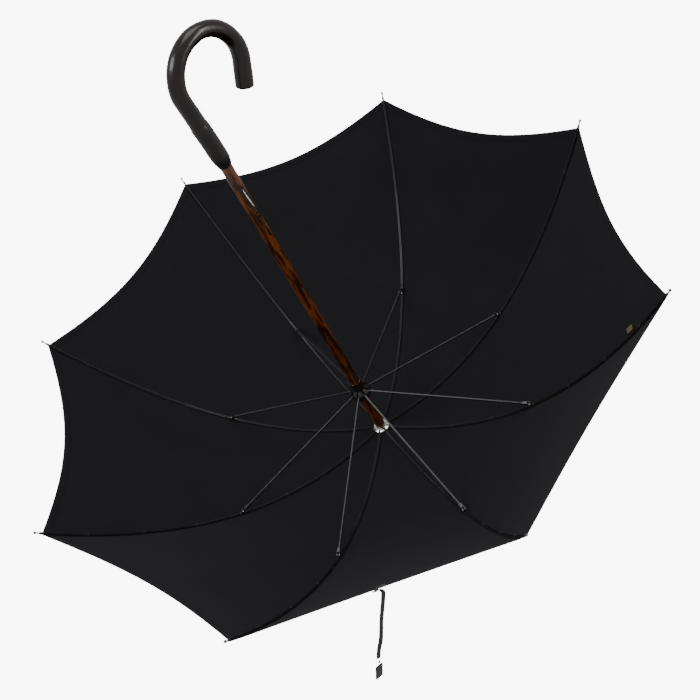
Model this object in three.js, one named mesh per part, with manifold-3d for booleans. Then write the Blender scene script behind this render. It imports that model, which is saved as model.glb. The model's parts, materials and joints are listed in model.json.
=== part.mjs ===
// Stick umbrella, open, with a bent wooden handle, eight curved steel ribs and a black canopy.
// Millimetres. The umbrella is modelled with its shaft along +Z: the rib hinges at the top
// notch are at z = 0, the handle is above them and the ferrule below. The whole umbrella is
// then tilted, as it is when a hand holds it upside down by the handle, and the grip on the
// handle becomes the origin.
import * as THREE from 'three';
import { mergeVertices } from 'three/addons/utils/BufferGeometryUtils.js';
import Module from 'manifold-3d';

const wasm = await Module();
wasm.setup();

// ---- Driving dimensions ------------------------------------------------------------------
const TILT = 35; // degrees that the shaft leans from the vertical while it is held
const GRIP_Z = 620; // the hand's place on the handle, measured from the rib hinges
const GAP = 0.3; // clearance between pieces that touch

const RIBS = 8;
const RIB_STEP = 360 / RIBS;
const FIRST_RIB = 157.5; // degrees from +X; the ribs are numbered clockwise from above
const CANOPY_RADIUS = 500; // shaft to fabric corner, in plan
const RIB_DIP = 0.238; // the rib's first slope, down from the hinge
const RIB_BOW = 0.712; // its even curve
const RIB_DROP = 0.067; // and the extra curl near the tip
const RIB_DEPTH = 2.6;
const RIB_WIDTH = 2.4;
const RIB_END = 498;
const RIB_HINGE = 10.5; // radius of the hinge wire in the notch
const EYE = 1.7; // radius of the rib's hinge eye

const JOINT_RADIUS = 261; // where the stretcher meets the rib
const JOINT_RISE = 5.2; // the rivet stands this far inside the rib
const LUG = 2.5;
const RIVET = 1.0;

const RUNNER_Z = 99.5; // height of the runner's hinge wire
const RUNNER_HINGE = 12.5;
const STRETCHER_DEPTH = 2.6;
const STRETCHER_WIDTH = 2.2;
const STRETCHER_EYE = 2.2;

const SHAFT_RADIUS = 8;
const SHAFT_LOW = -30;
const SHAFT_HIGH = 622;
const FERRULE_LOW = -72;

const HANDLE_LOW = 591;
const LEAN = 3; // degrees that the crook leans back before it turns over
const LEAN_Z = 600;
const CROOK_LENGTH = 99; // of the leaning straight
const CROOK_RADIUS = 52.5; // bend radius of the centreline
const CROOK_TURN = 208;
const NOSE = 33;
const HANDLE_RADIUS = 11.4;
const NECK_RADIUS = 12.3; // of the thicker part that holds the shaft
const NECK_HIGH = 660;
const CROOK_SIDE = 86; // azimuth that the crook points to
const SPRING_SIDE = 0; // azimuth of both springs

const FABRIC = 0.8;
const FABRIC_OFFSET = RIB_DEPTH / 2 + 1.0; // inner face of the cloth from the rib's centreline
const CANOPY_HOLE = 15;
const SCALLOP = 0.038; // how far the hem is drawn in halfway between two ribs

const STRAP_LENGTH = 100;
const STRAP_WIDTH = 6;
const STRAP_THICK = 1.4;

// ---- Small tools ---------------------------------------------------------------------------
const rad = THREE.MathUtils.degToRad;

function solid(geometry) {
  const bare = geometry.clone();
  bare.deleteAttribute('normal');
  bare.deleteAttribute('uv');
  const welded = mergeVertices(bare, 1e-4);
  return new wasm.Manifold(new wasm.Mesh({
    numProp: 3,
    vertProperties: Float32Array.from(welded.attributes.position.array),
    triVerts: Uint32Array.from(welded.index.array),
  }));
}

function geometryOf(body) {
  const mesh = body.getMesh();
  const geometry = new THREE.BufferGeometry();
  geometry.setAttribute('position', new THREE.BufferAttribute(Float32Array.from(mesh.vertProperties), 3));
  geometry.setIndex(new THREE.BufferAttribute(Uint32Array.from(mesh.triVerts), 1));
  geometry.computeVertexNormals();
  return geometry;
}

// A flat outline given as [radius, height] points, as thick as width, standing in the XZ plane.
function plate(outline, width, holes = []) {
  const shape = new THREE.Shape(outline.map(([x, y]) => new THREE.Vector2(x, y)));
  for (const [x, y, r] of holes) {
    const hole = new THREE.Path();
    hole.absarc(x, y, r, 0, 2 * Math.PI, true);
    shape.holes.push(hole);
  }
  const geometry = new THREE.ExtrudeGeometry(shape, { depth: width, bevelEnabled: false, curveSegments: 5 });
  geometry.rotateX(Math.PI / 2);
  geometry.translate(0, width / 2, 0);
  return geometry;
}

// A turned piece: the outline of [radius, z] points closes on itself or on the axis.
function turned(outline, sides) {
  const geometry = new THREE.LatheGeometry(outline.map(([x, z]) => new THREE.Vector2(x, z)), sides);
  geometry.rotateX(Math.PI / 2);
  return geometry;
}

function arc(x, y, r, from, to, steps) {
  const points = [];
  for (let i = 0; i <= steps; i += 1) {
    const a = rad(from + ((to - from) * i) / steps);
    points.push([x + r * Math.cos(a), y + r * Math.sin(a)]);
  }
  return points;
}

function box(x, y, z, at) {
  const geometry = new THREE.BoxGeometry(x, y, z);
  geometry.translate(...at);
  return geometry;
}

const finishes = {
  wood: { color: 0x5a2a0c, roughness: 0.35, metalness: 0 },
  darkWood: { color: 0x1e1412, roughness: 0.3, metalness: 0 },
  steel: { color: 0x8c8c90, roughness: 0.35, metalness: 1 },
  nickel: { color: 0xd8d8d4, roughness: 0.2, metalness: 1 },
  blackSteel: { color: 0x0c0c0e, roughness: 0.4, metalness: 0.4 },
  blackPlastic: { color: 0x0d0d0f, roughness: 0.35, metalness: 0 },
  cloth: { color: 0x141417, roughness: 0.9, metalness: 0 },
  label: { color: 0x5a5322, roughness: 0.9, metalness: 0 },
};

function piece(name, geometry, finish, parent) {
  const mesh = new THREE.Mesh(geometry, new THREE.MeshStandardMaterial(finishes[finish]));
  mesh.name = name;
  parent.add(mesh);
  return mesh;
}

function turnedTo(azimuth, parent) {
  const group = new THREE.Group();
  group.rotation.z = rad(azimuth);
  parent.add(group);
  return group;
}

// ---- The rib's curve -----------------------------------------------------------------------
function curve(r) {
  const q = r / CANOPY_RADIUS;
  return CANOPY_RADIUS * (-RIB_DIP * q + RIB_BOW * q ** 2 + RIB_DROP * q ** 4);
}

function ribZ(r) {
  return curve(r) - curve(RIB_HINGE);
}

function ribSlope(r) {
  const q = r / CANOPY_RADIUS;
  return Math.atan(-RIB_DIP + 2 * RIB_BOW * q + 4 * RIB_DROP * q ** 3);
}

// A point beside the curve: positive offsets are outside, where the cloth is.
function besideRib(r, offset) {
  const slope = ribSlope(r);
  return [r + offset * Math.sin(slope), ribZ(r) - offset * Math.cos(slope)];
}

const jointZ = ribZ(JOINT_RADIUS) + JOINT_RISE;
const ribAzimuth = (i) => FIRST_RIB - RIB_STEP * i;

// ---- Frame of the umbrella -------------------------------------------------------------------
const umbrella = new THREE.Group();
umbrella.rotation.x = rad(TILT);
umbrella.position.set(0, GRIP_Z * Math.sin(rad(TILT)), -GRIP_Z * Math.cos(rad(TILT)));

// ---- Shaft, with a pocket for each spring and a hole for the stop pin ----------------------------
const TOP_POCKET = [127, 172, 1.4]; // from, to and the radius of the pocket's floor
const HAND_POCKET = [463, 556, -1.4];
const POCKET_WIDTH = 3.2;
const STOP_PIN_Z = 90;
const STOP_PIN_RADIUS = 1.2;

function addShaft() {
  let rod = solid(turned([[0, SHAFT_LOW], [SHAFT_RADIUS, SHAFT_LOW], [SHAFT_RADIUS, SHAFT_HIGH],
    [0, SHAFT_HIGH]], 20));
  for (const [low, high, floor] of [TOP_POCKET, HAND_POCKET]) {
    const cut = box(10, POCKET_WIDTH, high - low, [floor + 5, 0, (low + high) / 2]);
    cut.rotateZ(rad(SPRING_SIDE));
    rod = rod.subtract(solid(cut));
  }
  const hole = new THREE.CylinderGeometry(STOP_PIN_RADIUS + GAP, STOP_PIN_RADIUS + GAP, 20, 12);
  hole.translate(0, 0, STOP_PIN_Z);
  rod = rod.subtract(solid(hole));
  piece('shaft', geometryOf(rod), 'wood', umbrella);

  const pin = new THREE.CylinderGeometry(STOP_PIN_RADIUS, STOP_PIN_RADIUS, 2 * SHAFT_RADIUS + 3.4, 10);
  pin.translate(0, 0, STOP_PIN_Z);
  piece('stop_pin', pin, 'steel', umbrella);
}

// ---- Springs: bent blades that stand out of the shaft --------------------------------------------
function addSprings() {
  const side = turnedTo(SPRING_SIDE, umbrella);
  const top = [[2.2, 170], [2.2, 164], [5.6, 132], [5.6, 129.6], [9.2, 129.6], [9.3, 132.6], [4.4, 170]];
  piece('top_spring', plate(top, 2.2), 'steel', side);
  const hand = [[2.2, 553], [2.2, 546], [5.4, 520], [5.6, 466], [6.9, 466], [6.9, 496], [9.0, 514],
    [9.3, 519], [8.6, 525], [4.4, 553]];
  piece('hand_spring', plate(hand, 2.2), 'nickel', side);
}

// ---- Bent handle on the end of the shaft ---------------------------------------------------------
function crookPoints() {
  const back = rad(LEAN);
  const along = [-Math.sin(back), Math.cos(back)];
  const across = [Math.cos(back), Math.sin(back)];
  const points = [];
  for (const s of [-6, 18, 42, 66, CROOK_LENGTH - 12]) {
    points.push([along[0] * Math.max(s, 0), LEAN_Z + along[1] * Math.max(s, 0) + Math.min(s, 0)]);
  }
  const start = [along[0] * CROOK_LENGTH, LEAN_Z + along[1] * CROOK_LENGTH];
  const steps = 16;
  let end = start;
  for (let i = 0; i <= steps; i += 1) {
    const a = (rad(CROOK_TURN) * i) / steps;
    const forward = CROOK_RADIUS * Math.sin(a);
    const over = CROOK_RADIUS * (1 - Math.cos(a));
    end = [start[0] + along[0] * forward + across[0] * over, start[1] + along[1] * forward + across[1] * over];
    points.push(end);
  }
  const turn = rad(CROOK_TURN);
  const way = [along[0] * Math.cos(turn) + across[0] * Math.sin(turn),
    along[1] * Math.cos(turn) + across[1] * Math.sin(turn)];
  points.push([end[0] + way[0] * NOSE * 0.5, end[1] + way[1] * NOSE * 0.5]);
  points.push([end[0] + way[0] * NOSE, end[1] + way[1] * NOSE]);
  return points;
}

function addHandle() {
  const path = new THREE.CatmullRomCurve3(crookPoints().map(([x, z]) => new THREE.Vector3(x, 0, z)));
  const section = new THREE.Shape();
  section.absarc(0, 0, HANDLE_RADIUS, 0, 2 * Math.PI, false);
  const hook = solid(new THREE.ExtrudeGeometry(section, { steps: 44, extrudePath: path, curveSegments: 8 }));
  const neck = solid(turned([[0, HANDLE_LOW], [9.2, HANDLE_LOW], [NECK_RADIUS - 0.4, 601], [NECK_RADIUS, 607],
    [NECK_RADIUS, NECK_HIGH - 2], [NECK_RADIUS - 0.8, NECK_HIGH], [0, NECK_HIGH]], 20));
  const bore = solid(turned([[0, HANDLE_LOW - 1], [SHAFT_RADIUS + GAP, HANDLE_LOW - 1],
    [SHAFT_RADIUS + GAP, SHAFT_HIGH + GAP], [0, SHAFT_HIGH + GAP]], 20));
  const side = turnedTo(CROOK_SIDE, umbrella);
  piece('handle', geometryOf(hook.add(neck).subtract(bore)), 'darkWood', side);
}

// ---- Crown: notch, rosette and ferrule -----------------------------------------------------------
const NOTCH_RADIUS = 13.8;
const NOTCH_LOW = -2.4;
const NOTCH_HIGH = 6.2;
const NOTCH_SLOT = 3.0;
const NOTCH_FLOOR = SHAFT_RADIUS + 0.5; // radius of the bottom of each slot

// A ring with one radial slot for each rib or stretcher.
function slottedRing(outline, slotFloor, slotWidth, low, high) {
  let ring = solid(turned(outline, 40));
  for (let i = 0; i < RIBS; i += 1) {
    const cut = box(20, slotWidth, high - low, [slotFloor + 10, 0, (low + high) / 2]);
    cut.rotateZ(rad(ribAzimuth(i)));
    ring = ring.subtract(solid(cut));
  }
  return ring;
}

function addCrown() {
  const bore = SHAFT_RADIUS + GAP;
  const ring = [[bore, NOTCH_LOW], [NOTCH_RADIUS, NOTCH_LOW], [NOTCH_RADIUS, 3.2], [10.8, 4.4],
    [10.8, NOTCH_HIGH], [bore, NOTCH_HIGH], [bore, NOTCH_LOW]];
  piece('top_notch', geometryOf(slottedRing(ring, NOTCH_FLOOR, NOTCH_SLOT, -10, 4.4)), 'nickel', umbrella);

  const rosette = [[bore, -6.3], [bore, -7.3], [17, -7.3], [18.5, -6.8], [18.5, -6.3], [bore, -6.3]];
  piece('outer_rosette', turned(rosette, 24), 'blackSteel', umbrella);

  const ferrule = [[0, FERRULE_LOW], [3.4, FERRULE_LOW], [4.2, FERRULE_LOW + 1], [4.4, FERRULE_LOW + 8],
    [5.6, FERRULE_LOW + 9], [9.2, -34], [9.8, -12], [10.4, -9], [10.4, -7.6], [bore, -7.6],
    [bore, SHAFT_LOW - GAP], [0, SHAFT_LOW - GAP]];
  piece('ferrule', turned(ferrule, 20), 'blackSteel', umbrella);
}

// ---- Runner: a slotted head on a tube that slides on the shaft, with a metal rim -----------------
const RUNNER_HEAD = [92.5, 106.5];
const RUNNER_END = 127.5;
const RIM_RADIUS = 10.6;
const RIM_LENGTH = 6;
const RUNNER_TUBE = 9.5;
const KEYWAY = 4.2;
const KEYWAY_REACH = 9.9; // radius that the keyway for the springs cuts out to
const RUNNER_SLOT = 3.0;
const RUNNER_FLOOR = 9.8; // radius of the bottom of each slot in the head

function addRunner() {
  const bore = SHAFT_RADIUS + 0.4;
  const [low, high] = RUNNER_HEAD;
  const outline = [[bore, low], [15.4, low], [17, low + 2.5], [16.2, high - 4], [12, high],
    [RUNNER_TUBE, high + 1.6], [RUNNER_TUBE, RUNNER_END], [bore, RUNNER_END], [bore, low]];
  let runner = slottedRing(outline, RUNNER_FLOOR, RUNNER_SLOT, low - 2, high + 4);
  const key = box(10, KEYWAY, 60, [KEYWAY_REACH - 5, 0, RUNNER_END - 20]);
  key.rotateZ(rad(SPRING_SIDE));
  runner = runner.subtract(solid(key));
  piece('runner', geometryOf(runner), 'blackPlastic', umbrella);

  const rimEnd = RUNNER_END + 1;
  const inside = RUNNER_TUBE + 0.35;
  const rim = [[inside, rimEnd - RIM_LENGTH], [RIM_RADIUS, rimEnd - RIM_LENGTH], [RIM_RADIUS, rimEnd - 0.8],
    [RIM_RADIUS - 0.3, rimEnd], [inside, rimEnd], [inside, rimEnd - RIM_LENGTH]];
  piece('runner_rim', turned(rim, 24), 'nickel', umbrella);
}

// ---- One rib, its tip and its stretcher, made once for each azimuth --------------------------------
function ribGeometry() {
  const stations = 18;
  const radii = [];
  for (let i = 0; i <= stations; i += 1) {
    radii.push(RIB_HINGE + 3 + ((RIB_END - RIB_HINGE - 3) * i) / stations);
  }
  const outside = radii.map((r) => besideRib(r, RIB_DEPTH / 2));
  const lugHalf = 5;
  const inside = [];
  for (const r of [...radii].reverse()) {
    if (Math.abs(r - JOINT_RADIUS) > lugHalf) {
      inside.push(besideRib(r, -RIB_DEPTH / 2));
    }
  }
  const lug = [besideRib(JOINT_RADIUS + lugHalf, -RIB_DEPTH / 2), ...arc(JOINT_RADIUS, jointZ, LUG, 10, 200, 6),
    besideRib(JOINT_RADIUS - lugHalf, -RIB_DEPTH / 2)];
  const cut = inside.findIndex(([x]) => x < JOINT_RADIUS - 1);
  inside.splice(cut, 0, ...lug);
  const eye = arc(RIB_HINGE, 0, EYE, 50, 300, 6);
  return plate([...outside, ...inside, ...eye], RIB_WIDTH, [[JOINT_RADIUS, jointZ, RIVET + GAP]]);
}

function tipGeometry() {
  const geometry = turned([[0, 0], [1.9, 0], [1.9, 3], [1.2, 5], [1.1, 9], ...arc(0, 11, 2.1, -58, 60, 5),
    [0, 13.1]], 10);
  geometry.rotateY(Math.PI / 2 - ribSlope(RIB_END));
  const [x, z] = besideRib(RIB_END, 0);
  const slope = ribSlope(RIB_END);
  geometry.translate(x + GAP * Math.cos(slope), 0, z + GAP * Math.sin(slope));
  return geometry;
}

// The stretcher lies along +X from its runner eye at the origin, then is turned into place.
function stretcherGeometry() {
  const run = JOINT_RADIUS - RUNNER_HINGE;
  const rise = jointZ - RUNNER_Z;
  const length = Math.hypot(run, rise);
  const half = STRETCHER_DEPTH / 2;
  const bar = [...arc(0, 0, STRETCHER_EYE, 36, 324, 8), [6, -half], [length - 8, -half], [length - 8, half],
    [6, half]];
  const fork = [...arc(length, 0, 2.3, -90, 90, 6), [length - 12, 1.7], [length - 12, -1.7]];
  let body = solid(plate(bar, STRETCHER_WIDTH)).add(solid(plate(fork, 4.6)));
  body = body.subtract(solid(box(12, 3.0, 12, [length + 1, 0, 0])));
  const shank = new THREE.CylinderGeometry(RIVET, RIVET, 4.2, 10);
  shank.translate(length, 0, 0);
  const geometry = geometryOf(body.add(solid(shank)));
  geometry.rotateY(-Math.atan2(rise, run));
  geometry.translate(RUNNER_HINGE, 0, RUNNER_Z);
  return geometry;
}

function addRibs() {
  for (let i = 0; i < RIBS; i += 1) {
    const side = turnedTo(ribAzimuth(i), umbrella);
    piece(`rib_${i + 1}`, ribGeometry(), 'blackSteel', side);
    piece(`tip_${i + 1}`, tipGeometry(), 'steel', side);
    piece(`stretcher_${i + 1}`, stretcherGeometry(), 'steel', side);
  }
}

// ---- Canopy: each panel in two halves, from its rib to the middle of the panel ----------------------
const HALF = RIB_STEP / 2;

// A point of the cloth at an angle from its rib. Between two ribs the cloth runs straight across.
function clothPoint(r, angle, offset) {
  const [radius, z] = besideRib(r, offset);
  const plan = (radius * Math.cos(rad(HALF))) / Math.cos(rad(HALF - angle));
  return [plan, z];
}

function hemRadius(angle) {
  const across = (HALF - angle) / HALF;
  return (CANOPY_RADIUS - 2) * (1 - SCALLOP * (1 - across ** 2));
}

function halfPanelGeometry(direction) {
  const rows = 16;
  const columns = 2;
  const corners = [];
  for (const offset of [FABRIC_OFFSET, FABRIC_OFFSET + FABRIC]) {
    for (let j = 0; j <= columns; j += 1) {
      const angle = (HALF * j) / columns;
      for (let k = 0; k <= rows; k += 1) {
        const r = CANOPY_HOLE + ((hemRadius(angle) - CANOPY_HOLE) * k) / rows;
        const [plan, z] = clothPoint(r, angle, offset);
        const inset = GAP * 0.6 * (1 - (2 * j) / columns);
        const a = rad(angle);
        corners.push(plan * Math.cos(a) - inset * Math.sin(a), direction * (plan * Math.sin(a)
          + inset * Math.cos(a)), z);
      }
    }
  }
  const faces = [];
  const at = (layer, j, k) => (layer * (columns + 1) + j) * (rows + 1) + k;
  const quad = (a, b, c, d) => (direction > 0 ? faces.push(a, b, c, a, c, d) : faces.push(a, c, b, a, d, c));
  for (let j = 0; j < columns; j += 1) {
    for (let k = 0; k < rows; k += 1) {
      quad(at(0, j, k), at(0, j, k + 1), at(0, j + 1, k + 1), at(0, j + 1, k));
      quad(at(1, j, k), at(1, j + 1, k), at(1, j + 1, k + 1), at(1, j, k + 1));
    }
    quad(at(0, j, 0), at(0, j + 1, 0), at(1, j + 1, 0), at(1, j, 0));
    quad(at(0, j, rows), at(1, j, rows), at(1, j + 1, rows), at(0, j + 1, rows));
  }
  for (let k = 0; k < rows; k += 1) {
    quad(at(0, 0, k), at(1, 0, k), at(1, 0, k + 1), at(0, 0, k + 1));
    quad(at(0, columns, k), at(0, columns, k + 1), at(1, columns, k + 1), at(1, columns, k));
  }
  const geometry = new THREE.BufferGeometry();
  geometry.setAttribute('position', new THREE.BufferAttribute(Float32Array.from(corners), 3));
  geometry.setIndex(faces);
  geometry.computeVertexNormals();
  return geometry;
}

// Panel n lies between rib n and rib n + 1. Half a is beside rib n and half b beside rib n + 1.
function addCanopy() {
  for (let i = 0; i < RIBS; i += 1) {
    const near = turnedTo(ribAzimuth(i), umbrella);
    piece(`panel_${i + 1}a`, halfPanelGeometry(-1), 'cloth', near);
    const far = turnedTo(ribAzimuth(i + 1), umbrella);
    piece(`panel_${i + 1}b`, halfPanelGeometry(1), 'cloth', far);
  }
}

// ---- Closing strap, which hangs from the hem halfway between ribs 5 and 6 ---------------------------
const STRAP_PANEL = 4;
const STRAP_TURN = 40; // the strap's flat side faces across the hem at its top
const TAB_TURN = 90; // and it has twisted this far round at its end
const RING_RADIUS = 3.6;
const TAB = [13, 2, 20];

function addStrap() {
  const side = turnedTo(ribAzimuth(STRAP_PANEL) - HALF, umbrella);
  const [x, z] = clothPoint(hemRadius(HALF), HALF, FABRIC_OFFSET);
  const slope = ribSlope(hemRadius(HALF));
  const anchor = new THREE.BoxGeometry(11, 13, 1.6);
  const patch = piece('strap_anchor', anchor, 'cloth', side);
  patch.position.set(x - 7 * Math.cos(slope) - 1.2 * Math.sin(slope), 0,
    z - 7 * Math.sin(slope) + 1.2 * Math.cos(slope));
  patch.rotation.y = -slope;

  const hang = new THREE.Group();
  hang.position.set(x + 3.2, 0, z + 0.8);
  const level = new THREE.Group();
  level.rotation.z = -rad(ribAzimuth(STRAP_PANEL) - HALF);
  const upright = new THREE.Group();
  upright.rotation.x = -rad(TILT);
  side.add(hang);
  hang.add(level);
  level.add(upright);
  const strapSide = turnedTo(STRAP_TURN, upright);
  const tabSide = turnedTo(TAB_TURN, upright);

  const section = new THREE.Shape();
  section.absellipse(0, 0, STRAP_WIDTH / 2, STRAP_THICK / 2, 0, 2 * Math.PI, false);
  const path = new THREE.CatmullRomCurve3([[0, 0, 0], [0.2, 0.6, -20], [-0.4, 0.4, -44], [0, 0, -STRAP_LENGTH]]
    .map(([px, py, pz]) => new THREE.Vector3(px, py, pz)));
  const strap = new THREE.ExtrudeGeometry(section, { steps: 10, extrudePath: path, curveSegments: 4 });
  piece('strap', strap, 'cloth', strapSide);

  const ring = new THREE.TorusGeometry(RING_RADIUS, 0.9, 8, 20);
  ring.translate(0, 0, -STRAP_LENGTH - GAP - RING_RADIUS - 0.9);
  piece('strap_ring', ring, 'nickel', tabSide);

  const tabTop = -STRAP_LENGTH - 2 * (GAP + RING_RADIUS + 0.9);
  piece('strap_tab', box(TAB[0], TAB[1], TAB[2], [0, 0, tabTop - TAB[2] / 2]), 'cloth', tabSide);
}

// ---- Blank sewn label inside the canopy beside rib 4 -------------------------------------------------
const LABEL_RIB = 3;
const LABEL_RADIUS = 440;
const LABEL_ANGLE = 1.5; // degrees round from the rib

function addLabel() {
  const side = turnedTo(ribAzimuth(LABEL_RIB), umbrella);
  const [x, z] = clothPoint(LABEL_RADIUS, LABEL_ANGLE, FABRIC_OFFSET - 1.0);
  const mesh = piece('label', new THREE.BoxGeometry(14, 8, 0.6), 'label', side);
  mesh.position.set(x, x * Math.tan(rad(LABEL_ANGLE)), z);
  const slope = ribSlope(LABEL_RADIUS);
  mesh.rotation.order = 'YXZ';
  mesh.rotation.set(Math.atan(Math.tan(rad(HALF)) * Math.sin(slope)), -slope, 0);
}

addShaft();
addSprings();
addHandle();
addCrown();
addRunner();
addRibs();
addCanopy();
addStrap();
addLabel();

export default umbrella;
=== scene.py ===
import json
import math

import bpy
from mathutils import Matrix, Vector
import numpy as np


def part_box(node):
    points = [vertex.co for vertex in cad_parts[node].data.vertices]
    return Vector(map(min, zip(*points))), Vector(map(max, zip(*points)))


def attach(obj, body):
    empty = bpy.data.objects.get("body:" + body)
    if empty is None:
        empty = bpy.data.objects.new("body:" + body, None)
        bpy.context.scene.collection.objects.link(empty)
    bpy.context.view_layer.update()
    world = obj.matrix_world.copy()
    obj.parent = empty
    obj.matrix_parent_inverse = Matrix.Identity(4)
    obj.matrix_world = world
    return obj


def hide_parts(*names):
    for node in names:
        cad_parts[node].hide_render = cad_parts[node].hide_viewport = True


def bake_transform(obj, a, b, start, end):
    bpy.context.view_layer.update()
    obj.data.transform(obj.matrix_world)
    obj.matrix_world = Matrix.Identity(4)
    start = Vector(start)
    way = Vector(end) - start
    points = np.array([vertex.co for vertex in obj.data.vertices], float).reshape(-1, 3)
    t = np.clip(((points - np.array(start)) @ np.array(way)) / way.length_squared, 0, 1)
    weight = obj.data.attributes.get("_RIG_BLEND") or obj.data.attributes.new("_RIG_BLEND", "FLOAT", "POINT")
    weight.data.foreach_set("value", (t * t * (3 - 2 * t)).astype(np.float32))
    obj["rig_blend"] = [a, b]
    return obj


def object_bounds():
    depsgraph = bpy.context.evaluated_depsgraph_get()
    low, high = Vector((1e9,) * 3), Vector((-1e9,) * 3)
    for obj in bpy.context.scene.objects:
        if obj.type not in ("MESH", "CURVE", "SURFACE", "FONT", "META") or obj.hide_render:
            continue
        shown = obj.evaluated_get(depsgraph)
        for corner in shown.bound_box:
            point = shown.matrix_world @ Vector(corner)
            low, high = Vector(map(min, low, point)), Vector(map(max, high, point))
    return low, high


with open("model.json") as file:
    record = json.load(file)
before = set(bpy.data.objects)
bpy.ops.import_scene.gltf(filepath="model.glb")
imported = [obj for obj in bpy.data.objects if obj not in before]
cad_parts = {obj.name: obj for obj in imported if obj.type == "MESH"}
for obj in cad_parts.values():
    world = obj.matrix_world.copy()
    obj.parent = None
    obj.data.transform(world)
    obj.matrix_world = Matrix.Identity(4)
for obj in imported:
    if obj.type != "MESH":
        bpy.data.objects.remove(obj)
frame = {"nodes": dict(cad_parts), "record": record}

cad_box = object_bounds()


# ---- The umbrella's stance ---------------------------------------------------------------
# An open stick umbrella held upside down by its handle, so the shaft leans and the canopy
# hangs below the hand. Its pieces are made upright, with the ribs' hinges at the origin and
# the shaft along Z, and are then tilted into the place that the frame gives.
joints = {joint["name"]: joint for joint in frame["record"]["behaviour"]["joints"]}
RIBS = 8
RIB_STEP = math.tau / RIBS
HALF_STEP = RIB_STEP / 2

hinges = [Vector(joints[f"rib_{n}_hinge"]["pos_m"]) for n in range(1, RIBS + 1)]
crown = sum(hinges, Vector()) / RIBS
shaft_way = Vector(joints["runner_slide"]["axis"]).normalized()
across = Vector((1, 0, 0))
facing = Matrix((across, shaft_way.cross(across), shaft_way)).transposed()
STANCE = Matrix.Translation(crown) @ facing.to_4x4()
TILT = math.acos(shaft_way.z)
FIRST_RIB = math.radians(157.5)


def rib_turn(number):
    """The direction of a rib round the shaft; the ribs are numbered clockwise from the handle's side."""
    return FIRST_RIB - RIB_STEP * (number - 1)


def upright(point):
    """A point of the frame in the upright umbrella's own axes."""
    return STANCE.inverted() @ Vector(point)


def start_fresh():
    """Nothing is selected before a new piece is added."""
    bpy.ops.object.select_all(action="DESELECT")


def settle(piece, turn=0.0, place=STANCE):
    """Turns an upright piece about the shaft and tilts it into place, all in its mesh."""
    piece.data.transform(place @ Matrix.Rotation(turn, 4, "Z") @ piece.matrix_world)
    piece.matrix_world = Matrix.Identity(4)
    return piece


# ---- Camera and studio -------------------------------------------------------------------
# The camera stands on the handle's side, a little above the hand, and looks down into the
# canopy. A pale floor runs past every edge of the view and large soft lamps hang over it.
bpy.ops.object.camera_add(location=(1.0408, -0.9760, 0.2791),
                          rotation=[math.radians(a) for a in (68.848, -0.897, 40.192)])
camera = bpy.context.object
camera.data.lens = 58.23
camera.data.sensor_width = 36
bpy.context.scene.camera = camera


class Wire:
    """One output of a node in a finish. Arithmetic on it adds Math nodes."""

    def __init__(self, finish, socket):
        self.finish = finish
        self.socket = socket

    def maths(self, operation, first, second):
        return self.finish.node("ShaderNodeMath", {"operation": operation}, {0: first, 1: second})

    def __add__(self, other):
        return self.maths("ADD", self, other)

    def __radd__(self, other):
        return self.maths("ADD", other, self)

    def __sub__(self, other):
        return self.maths("SUBTRACT", self, other)

    def __rsub__(self, other):
        return self.maths("SUBTRACT", other, self)

    def __mul__(self, other):
        return self.maths("MULTIPLY", self, other)

    def __rmul__(self, other):
        return self.maths("MULTIPLY", other, self)

    def __truediv__(self, other):
        return self.maths("DIVIDE", self, other)

    def __pow__(self, other):
        return self.maths("POWER", self, other)


class Finish:
    """A material with one Principled shader. Plain values go on the shader's own sockets."""

    def __init__(self, name, **values):
        self.material = bpy.data.materials.new(name)
        self.material.use_nodes = True
        self.tree = self.material.node_tree
        self.shader = self.tree.nodes["Principled BSDF"]
        for socket, value in values.items():
            self.shader.inputs[socket.replace("_", " ")].default_value = value

    def node(self, kind, settings=None, values=None, output=0):
        made = self.tree.nodes.new(kind)
        for setting, value in (settings or {}).items():
            if setting == "stops":
                self.set_stops(made.color_ramp, value)
            else:
                setattr(made, setting, value)
        for socket, value in (values or {}).items():
            if isinstance(value, Wire):
                self.tree.links.new(value.socket, made.inputs[socket])
            else:
                made.inputs[socket].default_value = value
        return Wire(self, made.outputs[output])

    def set_stops(self, ramp, stops):
        while len(ramp.elements) < len(stops):
            ramp.elements.new(1.0)
        for element, (place, colour) in zip(ramp.elements, stops):
            element.position = place
            element.color = (*colour, 1.0)

    def feed(self, socket, wire):
        self.tree.links.new(wire.socket, self.shader.inputs[socket])

    def places(self, turn=(0, 0, 0), scale=(1, 1, 1)):
        """Object coordinates, turned and then scaled."""
        start = self.node("ShaderNodeTexCoord", output="Object")
        turned_round = self.node("ShaderNodeMapping", values={"Vector": start, "Rotation": turn})
        return self.node("ShaderNodeMapping", values={"Vector": turned_round, "Scale": scale})

    def noise(self, vector, scale, detail=4, roughness=0.5):
        return self.node("ShaderNodeTexNoise",
                         values={"Vector": vector, "Scale": scale, "Detail": detail, "Roughness": roughness})

    def ramp(self, factor, stops):
        return self.node("ShaderNodeValToRGB", {"stops": stops}, {"Fac": factor})

    def level(self, factor, low, high, out_low=0.0, out_high=1.0):
        return self.node("ShaderNodeMapRange",
                         values={"Value": factor, 1: low, 2: high, 3: out_low, 4: out_high})

    def mix(self, factor, first, second):
        return self.node("ShaderNodeMix", {"data_type": "RGBA"}, {0: factor, 6: first, 7: second}, output=2)

    def bump(self, height, distance, strength=1.0):
        wire = self.node("ShaderNodeBump",
                         values={"Height": height, "Distance": distance, "Strength": strength})
        self.feed("Normal", wire)


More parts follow.
